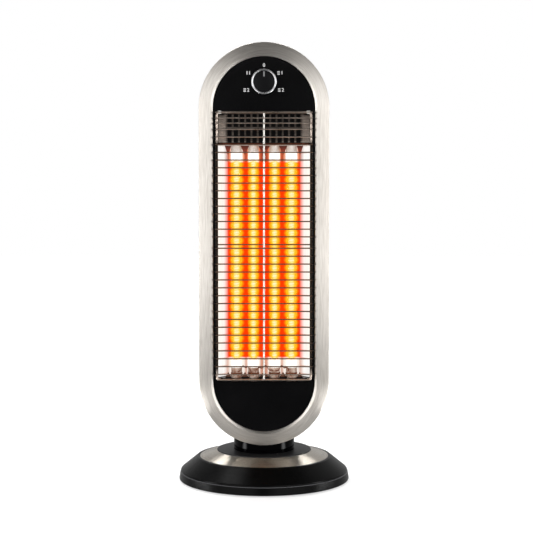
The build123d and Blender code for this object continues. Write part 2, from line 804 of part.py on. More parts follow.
def neck():
    """Black column under the head: a cup with screw posts and a spigot that turns in the bush."""
    collar_z = 54.4
    cup = turned([
        (SPIGOT_BORE_R, TABLE_TOP_Z, 0),
        (SPIGOT_R, TABLE_TOP_Z, 0),
        (SPIGOT_R, NECK_FLOOR_Z, 0),
        (NECK_R, NECK_FLOOR_Z, 0.4),
        (NECK_R, collar_z - 0.6, 0.2),
        (NECK_R - 0.8, collar_z, 0),
        (NECK_R, collar_z + 0.6, 0.2),
        (NECK_R, 100, 0),
        (NECK_R - 3, 100, 0),
        (NECK_R - 3, 53.5, 0),
        (SPIGOT_BORE_R, 53.5, 0),
    ])
    cup = cup + [upright(POST_R, 53, 90, x, y) for x, y in NECK_SCREW_POINTS]
    cup = cup - OUTSIDE
    for x, y in NECK_SCREW_POINTS:
        cup = cup - upright(1.9, 40, 90, x, y) - upright(3.9, 40, 55, x, y)
    for x, y in around(3, 21.5, 60):
        cup = cup - upright(1.9, 30, 46, x, y)
    return cup


def neck_screws():
    screws = []
    for x, y in NECK_SCREW_POINTS:
        screws.append(upright(3.6, 52.4, 55, x, y) + upright(1.85, 55, 84, x, y))
    return group(screws)


NODES = {
    "base_skirt": base_skirt,
    "base_plate": base_plate,
    "base_screws": base_screws,
    "ballast_ring": ballast_ring,
    "rubber_feet": rubber_feet,
    "trim_ring": trim_ring,
    "top_disc": top_disc,
    "disc_screws": disc_screws,
    "neck_bush": neck_bush,
    "cable_gland": cable_gland,
    "swing_motor": swing_motor,
    "motor_screws": motor_screws,
    "motor_shaft": motor_shaft,
    "crank_arm": crank_arm,
    "link_rod": link_rod,
    "turntable_plate": turntable_plate,
    "turntable_screws": turntable_screws,
    "link_clip": link_clip,
    "tip_switch_body": tip_switch_body,
    "tip_plunger": tip_plunger,
    "tip_spring": tip_spring,
    "terminal_block": terminal_block,
    "base_wiring": base_wiring,
    "neck": neck,
    "neck_screws": neck_screws,
    "mid_housing": mid_housing,
    "back_cover": back_cover,
    "cover_screws": cover_screws,
    "front_frame": front_frame,
    "front_fascia": front_fascia,
    "switch_body": switch_body,
    "switch_nut": switch_nut,
    "switch_shaft": switch_shaft,
    "knob_body": knob_body,
    "knob_ring": knob_ring,
    "knob_cap": knob_cap,
    "vent_plate": vent_plate,
    "reflector": reflector,
    "upper_tube_bracket": lambda: tube_bracket(ROOF_Z, 530.0),
    "lower_tube_bracket": lambda: tube_bracket(TRAY_Z, 183.0),
    "upper_end_caps": lambda: end_caps(TUBE_HIGH_Z, TUBE_HIGH_Z + CAP_LENGTH),
    "lower_end_caps": lambda: end_caps(TUBE_LOW_Z - CAP_LENGTH, TUBE_LOW_Z - CAP_LENGTH - 3),
    "busbars": busbars,
    "heat_shield": heat_shield,
    "thermal_cutout": thermal_cutout,
    "head_wiring": head_wiring,
    "guard_frame": lambda: guard_half(1) + guard_half(-1),
    "guard_centre_rod": guard_centre_rod,
    "guard_cross_wires": guard_cross_wires,
    "wire_sockets": wire_sockets,
    "guard_lugs": guard_lugs,
}

os.makedirs("parts", exist_ok=True)
for name, make in NODES.items():
    export_step(make(), f"parts/{name}.step")
for number, x in enumerate(TUBE_X, start=1):
    export_step(quartz_tube(x), f"parts/quartz_tube_{number}.step")
    export_step(carbon_filament(x), f"parts/carbon_filament_{number}.step")
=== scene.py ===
import math

import bmesh
import bpy
from mathutils import Matrix, Vector


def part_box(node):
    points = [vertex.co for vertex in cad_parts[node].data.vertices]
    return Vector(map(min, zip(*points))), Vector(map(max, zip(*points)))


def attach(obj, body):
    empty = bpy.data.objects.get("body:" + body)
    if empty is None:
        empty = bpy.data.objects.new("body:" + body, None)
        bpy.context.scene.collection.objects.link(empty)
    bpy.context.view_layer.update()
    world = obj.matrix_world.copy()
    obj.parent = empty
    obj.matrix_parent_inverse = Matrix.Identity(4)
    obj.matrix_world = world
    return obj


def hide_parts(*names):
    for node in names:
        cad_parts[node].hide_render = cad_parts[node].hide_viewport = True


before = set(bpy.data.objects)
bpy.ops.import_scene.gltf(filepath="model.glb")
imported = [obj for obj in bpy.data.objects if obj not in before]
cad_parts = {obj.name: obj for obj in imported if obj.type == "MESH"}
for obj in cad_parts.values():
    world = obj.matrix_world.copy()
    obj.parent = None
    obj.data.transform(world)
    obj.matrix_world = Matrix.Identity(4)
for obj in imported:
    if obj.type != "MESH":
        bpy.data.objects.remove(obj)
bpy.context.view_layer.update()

scene = bpy.context.scene
scene.view_settings.view_transform = "Standard"

# The camera stands 1.9 m in front of the heater, a little above its middle, and looks
# slightly down. Its lens was solved from the circles of the base.
CAMERA_PLACE = (0.0040, -1.915, 0.417)
CAMERA_DIP = 2.123
CAMERA_LENS = 77.66
camera_data = bpy.data.cameras.new("camera")
camera_data.lens = CAMERA_LENS
camera = bpy.data.objects.new("camera", camera_data)
camera.location = CAMERA_PLACE
camera.rotation_euler = (math.radians(90 - CAMERA_DIP), 0, 0)
scene.collection.objects.link(camera)
scene.camera = camera


# The studio is a white room that glossy parts see as dim in front of the heater. Softboxes stand
# on both sides of the camera, strips of light at the sides and behind, and one softbox overhead.
def add(tree, kind, sockets=None, **settings):
    """A shader node with its settings, and its sockets set or linked."""
    made = tree.nodes.new("ShaderNode" + kind)
    for key, value in settings.items():
        setattr(made, key, value)
    for key, value in (sockets or {}).items():
        if isinstance(value, bpy.types.NodeSocket):
            tree.links.new(value, made.inputs[key])
        else:
            made.inputs[key].default_value = value
    return made


def combine(tree, first, second, operation="ADD"):
    """Two values added, or joined by another operation."""
    return add(tree, "Math", {0: first, 1: second}, operation=operation).outputs["Value"]


def span(tree, value, low, high, to_low, to_high):
    """A value carried from one range to another, and held at its ends."""
    made = add(tree, "MapRange", {"Value": value, "From Min": low, "From Max": high,
                                  "To Min": to_low, "To Max": to_high})
    return made.outputs["Result"]


def either(tree, factor, first, second):
    """The first shader at factor 0 and the second at 1."""
    return add(tree, "MixShader", {0: factor, 1: first.outputs[0], 2: second.outputs[0]})


WHITE = (1, 1, 1, 1)
ROOM_FRONT = 0.10
ROOM_BACK = 0.50
ROOM_TOP = 0.42
FILL = 0.50
studio = bpy.data.worlds.new("studio")
scene.world = studio
studio.use_nodes = True
tree = studio.node_tree
tree.nodes.clear()
rays = add(tree, "LightPath").outputs
direction = add(tree, "TexCoord").outputs["Generated"]
axes = add(tree, "SeparateXYZ", {"Vector": direction}).outputs
depth = span(tree, axes["Y"], -0.25, 0.55, ROOM_FRONT, ROOM_BACK)
height = span(tree, axes["Z"], 0.25, 0.85, 1.0, ROOM_TOP)
room = add(tree, "Background", {"Color": WHITE, "Strength": combine(tree, depth, height, "MULTIPLY")})
fill_light = add(tree, "Background", {"Color": WHITE, "Strength": FILL})
backdrop = add(tree, "Background", {"Color": WHITE, "Strength": 1.0})
seen_in_gloss = combine(tree, rays["Is Glossy Ray"], rays["Is Transmission Ray"], "MAXIMUM")
off_camera = either(tree, seen_in_gloss, fill_light, room)
seen_room = either(tree, rays["Is Camera Ray"], off_camera, backdrop)
add(tree, "OutputWorld", {"Surface": seen_room.outputs[0]})


def softbox(name, place, aim, width, height, brightness):
    """A rectangular lamp aimed at a point. Brightness 1 looks like a fully lit white card."""
    data = bpy.data.lights.new(name, "AREA")
    data.shape = "RECTANGLE"
    data.size = width
    data.size_y = height
    data.energy = brightness * math.pi * width * height
    lamp = bpy.data.objects.new(name, data)
    lamp.location = place
    lamp.rotation_euler = (Vector(aim) - Vector(place)).to_track_quat("-Z", "Y").to_euler()
    scene.collection.objects.link(lamp)


for side in (-1, 1):
    softbox("high_softbox", place=(side * 1.16, -1.60, 1.05), aim=(0, 0, 0.55),
            width=1.90, height=0.95, brightness=1.62)
    softbox("low_softbox", place=(side * 1.16, -1.60, 0.30), aim=(0, 0, 0.30),
            width=1.90, height=0.45, brightness=1.70)
    softbox("side_strip", place=(side * 1.5, -0.35, 0.50), aim=(0, 0, 0.30),
            width=0.16, height=0.9, brightness=14.0)
    softbox("ring_strip", place=(side * 0.40, 0.68, 1.30), aim=(0, 0, 0.05),
            width=0.08, height=1.2, brightness=24.0)
softbox("overhead_softbox", place=(-0.50, 0.35, 1.50), aim=(0, 0, 0.2),
        width=0.6, height=0.5, brightness=4.5)


# The floor is white paper. Glossy parts see it lit near the heater and at the sides and dim in
# front of it, with a narrow bright strip of light lying at each side.
def bare_material(name):
    """A new material, and its node tree with nothing in it."""
    material = bpy.data.materials.new(name)
    material.use_nodes = True
    material.node_tree.nodes.clear()
    return material, material.node_tree


def object_place(tree):
    """Each point's place on the object, and the same as X, Y and Z."""
    place = add(tree, "TexCoord").outputs["Object"]
    return place, add(tree, "SeparateXYZ", {"Vector": place}).outputs


def length_of(tree, vector):
    """The length of a vector."""
    return add(tree, "VectorMath", {0: vector}, operation="LENGTH").outputs["Value"]


def away(tree, value, middle=0.0):
    """How far a value is from a middle one, on either side."""
    return combine(tree, combine(tree, value, middle, "SUBTRACT"), 0.0, "ABSOLUTE")


FLOOR_REACH = 14.0
PAPER_GREY = (0.62, 0.62, 0.62, 1)
STRIP_SLANT = 0.287
STRIP_BRIGHTNESS = 22.0
floor_mesh = bpy.data.meshes.new("floor")
corners = [(x * FLOOR_REACH, y * FLOOR_REACH, 0) for x, y in ((-1, -1), (1, -1), (1, 1), (-1, 1))]
floor_mesh.from_pydata(corners, [], [(0, 1, 2, 3)])
floor = bpy.data.objects.new("floor", floor_mesh)
scene.collection.objects.link(floor)
paper, tree = bare_material("floor_paper")
rays = add(tree, "LightPath").outputs
place, axes = object_place(tree)
from_middle = length_of(tree, place)
aside = away(tree, axes["X"])
matt = add(tree, "BsdfDiffuse", {"Color": PAPER_GREY})
lift = combine(tree, span(tree, from_middle, 0.2, 1.2, 0.48, 0.80), rays["Is Camera Ray"], "MULTIPLY")
lifted = add(tree, "Emission", {"Strength": lift})
lit_paper = add(tree, "AddShader", {0: matt.outputs[0], 1: lifted.outputs[0]})
at_sides = span(tree, aside, 0.22, 0.60, 0.10, 1)
close_in = span(tree, axes["Y"], -0.56, -0.44, 0, 0.6)
gleam = combine(tree, at_sides, close_in, "MAXIMUM")
gleam = combine(tree, gleam, span(tree, from_middle, 0.6, 3.2, 0.75, 0.12), "MULTIPLY")
from_strip = away(tree, combine(tree, combine(tree, aside, STRIP_SLANT, "MULTIPLY"), axes["Y"]))
strip = span(tree, from_strip, 0.02, 0.07, STRIP_BRIGHTNESS, 0)
strip = combine(tree, strip, span(tree, aside, 0.25, 0.30, 0, 1), "MULTIPLY")
strip = combine(tree, strip, span(tree, aside, 0.75, 0.90, 1, 0), "MULTIPLY")
in_gloss = add(tree, "Emission", {"Strength": combine(tree, gleam, strip)})
seen_paper = either(tree, rays["Is Glossy Ray"], lit_paper, in_gloss)
add(tree, "OutputMaterial", {"Surface": seen_paper.outputs[0]})
floor_mesh.materials.append(paper)


# The base shell is one ABS moulding, spark-eroded to a fine satin texture, with a rounded rim
# band, a groove and a sloping shoulder. The rubber gland sits in a pocket at its back.
def paint(red, green, blue):
    """A colour from its 0 to 255 values."""
    channels = [value / 255 for value in (red, green, blue)]
    return [c / 12.92 if c < 0.04045 else ((c + 0.055) / 1.055) ** 2.4 for c in channels] + [1.0]


def ramp(tree, factor, stops, smooth=True):
    """A colour ramp from (position, colour) stops."""
    made = add(tree, "ValToRGB", {"Fac": factor})
    made.color_ramp.interpolation = "EASE" if smooth else "LINEAR"
    band = made.color_ramp.elements
    while len(band) < len(stops):
        band.new(0.5)
    for element, (position, colour) in zip(band, stops):
        element.position = position
        element.color = colour
    return made.outputs["Color"]


def noise(tree, vector, scale, detail=3.0):
    """A cloudy pattern of values round 0.5."""
    return add(tree, "TexNoise", {"Vector": vector, "Scale": scale, "Detail": detail}).outputs["Fac"]


def mingle(tree, fine, broad, share):
    """A fine pattern and a broad one in one tone. The share is the fine one's."""
    return combine(tree, combine(tree, fine, share, "MULTIPLY"), combine(tree, broad, 1 - share, "MULTIPLY"))


BUMP_DEPTH = 0.0001


def relief(tree, pattern, strength):
    """The surface normal over a pattern pressed into the surface."""
    made = add(tree, "Bump", {"Strength": strength, "Distance": BUMP_DEPTH, "Height": pattern})
    return made.outputs["Normal"]


def finish(name, dark, light, rough, grain=1500.0, stretch=(1, 1, 1), bump=0.15, mottling=14.0,
           metallic=0.0, specular=0.5, streaks=0.5):
    """A procedural finish: fine grain, broad mottling, and roughness and bump that follow them."""
    material, tree = bare_material(name)
    place = object_place(tree)[0]
    along = add(tree, "Mapping", {"Vector": place, "Scale": stretch}).outputs["Vector"]
    fine = noise(tree, along, grain)
    tone = mingle(tree, fine, noise(tree, place, mottling, detail=4.0), streaks)
    shader = add(tree, "BsdfPrincipled", {
        "Base Color": ramp(tree, tone, [(0.36, dark), (0.64, light)]),
        "Roughness": span(tree, tone, 0.35, 0.65, rough[0], rough[1]),
        "Normal": relief(tree, fine, bump),
        "Metallic": metallic,
        "Specular IOR Level": specular,
    })
    add(tree, "OutputMaterial", {"Surface": shader.outputs[0]})
    return material


def blend_colours(tree, factor, first, second):
    """The first colour at factor 0 and the second at 1."""
    return add(tree, "Mix", {0: factor, 6: first, 7: second}, data_type="RGBA").outputs[2]


def second_coat(material):
    """A finish's node tree, its colour socket, and the colour that it has so far."""
    shader = next(node for node in material.node_tree.nodes if node.type == "BSDF_PRINCIPLED")
    socket = shader.inputs["Base Color"]
    return material.node_tree, socket, socket.links[0].from_socket


def painted_crease_highlight(material, crease_z):
    """A thin pale line along the crease at a height: a painted highlight."""
    tree, socket, black = second_coat(material)
    from_crease = away(tree, object_place(tree)[1]["Z"], crease_z)
    crease_highlight = blend_colours(tree, span(tree, from_crease, 0.0002, 0.0007, 1, 0), black, paint(84, 84, 86))
    tree.links.new(crease_highlight, socket)


def dress(material, *names):
    """CAD nodes that keep their shape take this finish."""
    for name in names:
        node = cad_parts[name]
        if not node.material_slots:
            node.data.materials.append(material)
        for used in node.material_slots:
            used.material = material


RIM_CREASE_Z = 0.0144
shell_black = finish("shell_black", paint(2, 2, 2), paint(5, 5, 5), (0.24, 0.32), grain=2600, bump=0.10,
                     specular=0.10)
# The pale line along the rim crease is a painted highlight.
painted_crease_highlight(shell_black, RIM_CREASE_Z)
rubber = finish("foot_rubber", paint(20, 20, 20), paint(36, 35, 34), (0.65, 0.80), grain=1800, bump=0.35)
dress(shell_black, "base_skirt")
dress(rubber, "rubber_feet", "cable_gland")

# The trim ring is a thin cone of stainless steel, brushed in circles on a lathe, so that light
# draws bright streaks across it towards the centre. Its outer edge is rolled over.
ring_steel, tree = bare_material("brushed_ring")
place, axes = object_place(tree)
radius = length_of(tree, add(tree, "CombineXYZ", {"X": axes["X"], "Y": axes["Y"]}).outputs[0])
circles = add(tree, "TexNoise", {"W": radius, "Scale": 5200.0, "Detail": 4.0}, noise_dimensions="1D")
circles = circles.outputs["Fac"]
tone = mingle(tree, circles, noise(tree, place, 22.0), 0.7)
shader = add(tree, "BsdfPrincipled", {
    "Base Color": ramp(tree, tone, [(0.36, paint(176, 168, 156)), (0.64, paint(222, 214, 202))]),
    "Roughness": span(tree, tone, 0.35, 0.65, 0.24, 0.34),
    "Normal": relief(tree, circles, 0.20),
    "Metallic": 1.0,
    "Anisotropic": 0.88,
    "Anisotropic Rotation": 0.25,
    "Tangent": add(tree, "Tangent", direction_type="RADIAL", axis="Z").outputs[0],
})
add(tree, "OutputMaterial", {"Surface": shader.outputs[0]})
dress(ring_steel, "trim_ring")

# The top disc closes the base. It is moulded in black with a coarser, flatter texture than the
# shell. The white flanged bush in its middle carries the neck.
disc_black = finish("disc_black", paint(18, 18, 19), paint(30, 30, 31), (0.40, 0.50), grain=2000, bump=0.2,
                    specular=0.4)
acetal = finish("bush_plastic", paint(214, 210, 200), paint(232, 228, 220), (0.35, 0.45), bump=0.08)
dress(disc_black, "top_disc")
dress(acetal, "neck_bush", "tip_plunger")

# Under the base are a zinc-plated bottom plate, a cast iron weight and plated screws. The
# plating is mottled, and the casting keeps its sand skin.
zinc = finish("zinc_steel", paint(142, 146, 150), paint(186, 189, 190), (0.28, 0.42), grain=420, bump=0.1,
              mottling=60, metallic=1.0)
screw_steel = finish("screw_steel", paint(96, 96, 98), paint(140, 140, 142), (0.28, 0.40), metallic=1.0)
cast_iron = finish("cast_weight", paint(40, 38, 37), paint(66, 62, 60), (0.55, 0.75), grain=700, bump=0.9,
                   metallic=0.6)
dress(zinc, "base_plate", "turntable_plate", "link_rod", "crank_arm", "swing_motor")
dress(screw_steel, "base_screws", "disc_screws", "turntable_screws", "motor_screws", "motor_shaft",
      "link_clip", "tip_spring", "neck_screws")
dress(cast_iron, "ballast_ring")

# The anti-tip switch and the terminal block are moulded in grey-black nylon. The leads wear
# glass-fibre reinforced silicone sheaths.
nylon = finish("switch_plastic", paint(44, 44, 46), paint(62, 62, 64), (0.45, 0.6), grain=1600, bump=0.2)
sheath = finish("wire_sheath", paint(150, 60, 34), paint(178, 82, 52), (0.5, 0.65), grain=1400, bump=0.5)
dress(nylon, "tip_switch_body", "terminal_block")
dress(sheath, "base_wiring", "head_wiring")

# The neck is a glossy black cup under the head, with a fine groove near its foot. It turns in
# the base with the head.
gloss_black = finish("gloss_black", paint(1, 1, 2), paint(4, 4, 5), (0.08, 0.12), grain=900, bump=0.02,
                     specular=0.035)
dress(gloss_black, "neck")

# The head's shell is moulded in two halves of satin black plastic. Six screws in counterbores
# hold the back cover, which has two blocks of vent slots and a carrying recess.
satin_black = finish("satin_black", paint(3, 3, 3), paint(8, 8, 8), (0.28, 0.36), grain=2600, bump=0.10,
                     specular=0.07)
dress(satin_black, "mid_housing", "back_cover")
dress(screw_steel, "cover_screws")


# The front frame is folded from nickel-plated sheet, brushed along its length: a crowned face,
# a returned outer edge, and a bright bevel that runs down to the fascia.
def rounded(corners, steps=8):
    """The points of a closed section from (across, up, corner radius) triples."""
    points = []
    for i, (across, up, radius) in enumerate(corners):
        here = Vector((across, up))
        if not radius:
            points.append(here)
            continue
        back = (Vector(corners[i - 1][:2]) - here).normalized()
        ahead = (Vector(corners[(i + 1) % len(corners)][:2]) - here).normalized()
        half = back.angle(ahead) / 2
        centre = here + (back + ahead).normalized() * (radius / math.sin(half))
        start = here + back * (radius / math.tan(half)) - centre
        end = here + ahead * (radius / math.tan(half)) - centre
        turn = math.copysign(math.pi - 2 * half, start.x * end.y - start.y * end.x)
        for k in range(steps + 1):
            points.append(centre + Matrix.Rotation(turn * k / steps, 2) @ start)
    return points


def skin(name, bodies, loop=False, sharp=32.0):
    """One mesh object from bodies, each a row of equal rings of points. A loop closes on itself."""
    points, faces = [], []
    for rings in bodies:
        first = len(points)
        count = len(rings[0])
        points += [tuple(point) for ring in rings for point in ring]
        last = len(rings) if loop else len(rings) - 1
        for i in range(last):
            low = first + i * count
            high = first + ((i + 1) % len(rings)) * count
            for k in range(count):
                after = (k + 1) % count
                faces.append((low + k, low + after, high + after, high + k))
        if not loop:
            end = first + (len(rings) - 1) * count
            faces.append(tuple(first + k for k in reversed(range(count))))
            faces.append(tuple(end + k for k in range(count)))
    mesh = bpy.data.meshes.new(name)
    mesh.from_pydata(points, [], faces)
    form = bmesh.new()
    form.from_mesh(mesh)
    bmesh.ops.recalc_face_normals(form, faces=form.faces)
    form.to_mesh(mesh)
    form.free()
    mesh.shade_smooth()
    mesh.set_sharp_from_angle(angle=math.radians(sharp))
    made = bpy.data.objects.new(name, mesh)
    scene.collection.objects.link(made)
    return made


def fit(piece, material, slot, body, *replaced):
    """A new piece gets its finish and the body that it moves with. Its slot is not used."""
    piece.data.materials.append(material)
    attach(piece, body)
    if replaced:
        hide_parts(*replaced)
    return piece


frame_low, frame_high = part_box("front_frame")
FRAME_R = round(frame_high.x, 4)
FRAME_BACK_Y = round(frame_high.y, 4)
ARC_LOW_Z = round(frame_low.z, 4) + FRAME_R
ARC_HIGH_Z = round(frame_high.z, 4) - FRAME_R
FRAME_BAND = 0.0225
SHEET = 0.0016
INNER_R = FRAME_R - FRAME_BAND
BEVEL_EDGE_R = 0.0851
FRAME_SECTION = [
    (FRAME_R, FRAME_BACK_Y, 0), (FRAME_R, -0.0596, 0.0014), (0.0940, -0.0617, 0.050),
    (0.0852, -0.0620, 0.0008), (INNER_R, -0.0598, 0.0005), (INNER_R, FRAME_BACK_Y, 0),
    (INNER_R + SHEET, FRAME_BACK_Y, 0), (INNER_R + SHEET, -0.0589, 0), (0.0855, -0.0604, 0),
    (0.0938, -0.0601, 0.048), (FRAME_R - SHEET, -0.0584, 0), (FRAME_R - SHEET, FRAME_BACK_Y, 0),
]
ARC_STEPS = 96
SIDE_STEPS = 24


def racetrack(section):
    """Rings of a section carried round the upright racetrack."""
    stations = [(ARC_HIGH_Z, math.pi * i / ARC_STEPS) for i in range(ARC_STEPS + 1)]
    side = [ARC_HIGH_Z + (ARC_LOW_Z - ARC_HIGH_Z) * i / SIDE_STEPS for i in range(1, SIDE_STEPS)]
    stations += [(z, math.pi) for z in side]
    stations += [(ARC_LOW_Z, math.pi * (1 + i / ARC_STEPS)) for i in range(ARC_STEPS + 1)]
    stations += [(z, 0.0) for z in reversed(side)]
    return [[(r * math.cos(a), y, z + r * math.sin(a)) for r, y in section] for z, a in stations]


def brushed_nickel(name, roughness_factor, anisotropy):
    """Nickel plate whose grain runs along the frame. A low factor makes it shinier."""
    material, tree = bare_material(name)
    place, axes = object_place(tree)
    spine = add(tree, "Clamp", {"Value": axes["Z"], "Min": ARC_LOW_Z, "Max": ARC_HIGH_Z}).outputs["Result"]
    past_spine = combine(tree, axes["Z"], spine, "SUBTRACT")
    from_spine = length_of(tree, add(tree, "CombineXYZ", {"X": axes["X"], "Y": past_spine}).outputs[0])
    inward = combine(tree, spine, axes["Z"], "SUBTRACT")
    brushing = add(tree, "CombineXYZ", {"X": inward, "Z": axes["X"]}).outputs[0]
    drift = combine(tree, combine(tree, axes["Z"], axes["X"]), 0.012, "MULTIPLY")
    grooves = add(tree, "CombineXYZ", {"X": from_spine, "Y": axes["Y"], "Z": drift}).outputs[0]
    brush = noise(tree, grooves, 3000.0)
    tone = mingle(tree, brush, noise(tree, place, 9.0), 0.8)
    shader = add(tree, "BsdfPrincipled", {
        "Base Color": ramp(tree, tone, [(0.34, paint(206, 199, 190)), (0.66, paint(240, 235, 228))]),
        "Roughness": span(tree, tone, 0.35, 0.65, 0.38 * roughness_factor, 0.48 * roughness_factor),
        "Normal": relief(tree, brush, 0.10),
        "Metallic": 1.0,
        "Anisotropic": anisotropy,
        "Anisotropic Rotation": 0.25,
        "Tangent": add(tree, "VectorTransform", {"Vector": brushing}, vector_type="VECTOR",
                       convert_from="OBJECT", convert_to="WORLD").outputs[0],
    })
    add(tree, "OutputMaterial", {"Surface": shader.outputs[0]})
    return material


front_frame = skin("frame_ring", [racetrack(rounded(FRAME_SECTION))], loop=True)
fit(front_frame, brushed_nickel("brushed_frame", 1.0, 0.88), "brushed_trim", "head", "front_frame")
front_frame.data.materials.append(brushed_nickel("bevel_nickel", 0.72, 0.35))
for face in front_frame.data.polygons:
    spine_z = min(max(face.center.z, ARC_LOW_Z), ARC_HIGH_Z)
    if math.hypot(face.center.x, face.center.z - spine_z) < BEVEL_EDGE_R:
        face.material_index = 1

# The fascia is a black moulding with a fine, almost glossy surface: a dome above and below, and
# narrow borders that take the ends of the guard wires in small collars.
fascia_black = finish("fascia_black", paint(6, 6, 7), paint(12, 12, 13), (0.18, 0.24), grain=1900, bump=0.05,
                      specular=0.15)
dress(fascia_black, "front_fascia", "wire_sockets")

# The scale round the knob is tampo-printed in light grey: nought at the top, two strokes at the
# left, and one or two beside a small sign of three bars.
FASCIA_Y = round(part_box("front_fascia")[0].y, 4)
knob_low, knob_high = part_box("knob_ring")
KNOB_Z = round((knob_low.z + knob_high.z) / 2, 4)
PRINT = 0.00006
FIGURE_HEIGHT = 0.0054
FIGURE_SHARE = 0.70
FIGURE_WEIGHT = 0.00012
STROKE_HALF_WIDTH = 0.00065
STROKE_HALF_HEIGHT = 0.0027
BAR_HALF_WIDTH = 0.0020
BAR_HALF_HEIGHT = 0.0006
BAR_PITCH = 0.0021
FIGURES = [("0", 0.0, 0.0269), ("1", 0.0286, 0.0148), ("2", -0.0252, -0.0123), ("2", 0.0300, -0.0123)]
STROKES = [(-0.0270, 0.0149), (-0.0229, 0.0149)]
BAR_SIGNS = [(0.0232, 0.0148), (-0.0307, -0.0123), (0.0243, -0.0123)]


def plate(x0, x1, z0, z1, y_front, y_back):
    """The rings of a small upright plate."""
    return [[(x0, y, z0), (x1, y, z0), (x1, y, z1), (x0, y, z1)] for y in (y_front, y_back)]


def printed_bar(x, z, half_width, half_height):
    """The rings of a printed bar on the fascia, its middle at x, z."""
    return plate(x - half_width, x + half_width, z - half_height, z + half_height, FASCIA_Y - PRINT, FASCIA_Y)


def digit(text, x, z):
    """A printed figure as a mesh, its middle at x, z."""
    curve = bpy.data.curves.new("figure", "FONT")
    curve.body = text
    curve.size = FIGURE_HEIGHT / FIGURE_SHARE
    curve.align_x = "CENTER"
    curve.align_y = "CENTER"
    curve.extrude = PRINT / 2
    curve.offset = FIGURE_WEIGHT
    pattern = bpy.data.objects.new("figure", curve)
    scene.collection.objects.link(pattern)
    mesh = bpy.data.meshes.new_from_object(pattern.evaluated_get(bpy.context.evaluated_depsgraph_get()))
    bpy.data.objects.remove(pattern)
    mesh.transform(Matrix.Translation((x, FASCIA_Y - PRINT / 2, z)) @ Matrix.Rotation(math.pi / 2, 4, "X"))
    return mesh


bars = [printed_bar(x, KNOB_Z + z, STROKE_HALF_WIDTH, STROKE_HALF_HEIGHT) for x, z in STROKES]
bars += [printed_bar(x, KNOB_Z + z + row * BAR_PITCH, BAR_HALF_WIDTH, BAR_HALF_HEIGHT)
         for x, z in BAR_SIGNS for row in (-1, 0, 1)]
marks = skin("dial_marks", bars)
form = bmesh.new()
form.from_mesh(marks.data)
for text, x, z in FIGURES:
    form.from_mesh(digit(text, x, KNOB_Z + z))
form.to_mesh(marks.data)
form.free()
print_grey = finish("print_grey", paint(214, 214, 214), paint(236, 236, 236), (0.5, 0.6), grain=3000,
                    bump=0.05)
fit(marks, print_grey, "fascia_black", "head")

# The knob is a hollow black moulding with a chromed ring round its face. The face is a satin
# dark grey cap, and its raised pointer bar has a pale printed top. A rotary switch is behind it.
knob_black = finish("knob_black", paint(7, 7, 9), paint(15, 15, 17), (0.26, 0.34), grain=2200, bump=0.08,
                    specular=0.15)
chrome = finish("bright_ring", paint(206, 206, 208), paint(232, 232, 234), (0.24, 0.30), grain=1200,
                bump=0.03, metallic=1.0)
dress(knob_black, "knob_body", "knob_cap")
dress(chrome, "knob_ring")
POINTER_HALF = 0.0011
POINTER_START = 0.0075
POINTER_END = 0.0158
KNOB_FRONT_Y = round(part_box("knob_cap")[0].y, 4)
pointer_bar = plate(-POINTER_HALF, POINTER_HALF, KNOB_Z + POINTER_START, KNOB_Z + POINTER_END,
                    KNOB_FRONT_Y - PRINT, KNOB_FRONT_Y + 0.0001)
pointer_grey = finish("pointer_grey", paint(116, 116, 118), paint(140, 140, 142), (0.4, 0.5), grain=2600,
                      bump=0.05)
fit(skin("pointer_print", [pointer_bar]), pointer_grey, "knob_black", "knob")
dress(nylon, "switch_body", "thermal_cutout")
dress(zinc, "switch_nut", "switch_shaft")


# The vent plate above the tubes is stainless sheet, brushed from side to side, with two rows of
# slots. It is darker round the slots and along the top. Its lower lip has taken a copper tint from
# the heat, and a dark band of painted shade lies just above the lip.
def tint_by_height(material, stops, low_z, high_z):
    """Colours from low_z to high_z over a finish, which stays as it is above them. On the vent plate they
    hold a band of painted shade above the lip.
    """
    tree, socket, steel = second_coat(material)
    height = object_place(tree)[1]["Z"]
    height_tints = ramp(tree, span(tree, height, low_z, high_z, 0, 1), stops, smooth=False)
    clean = span(tree, height, high_z, high_z + 0.0003, 0, 1)
    tree.links.new(blend_colours(tree, clean, height_tints, steel), socket)


def darken_round_slots(material):
    """Darker over the block of slots, down to the lip, and a darker band along the top."""
    tree, socket, steel = second_coat(material)
    axes = object_place(tree)[1]
    beside = span(tree, away(tree, axes["X"]), 0.0600, 0.0660, 0.60, 0.0)
    darkening = combine(tree, beside, span(tree, axes["Z"], 0.5520, 0.5535, 0, 1), "MULTIPLY")
    darkening = combine(tree, darkening, span(tree, axes["Z"], 0.580, 0.5995, 0.0, 0.75), "MAXIMUM")
    tree.links.new(blend_colours(tree, darkening, steel, paint(24, 21, 20)), socket)


LIP_LOW_Z = round(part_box("vent_plate")[0].z, 4)
LIP_HIGH_Z = 0.5508
vent_steel = finish("vent_steel", paint(112, 102, 94), paint(168, 156, 146), (0.30, 0.42), grain=2200,
                    stretch=(0.02, 1, 1), bump=0.2, mottling=30, metallic=1.0, streaks=0.7)
# Copper on the lip, then a dark band of painted shade above it.
copper_lip_and_shade = [(0.0, paint(226, 168, 142)), (0.40, paint(214, 120, 84)), (0.50, paint(34, 20, 16)),
              (1.0, paint(26, 20, 18))]
tint_by_height(vent_steel, copper_lip_and_shade, LIP_LOW_Z, LIP_HIGH_Z)
darken_round_slots(vent_steel)
dress(vent_steel, "vent_plate")

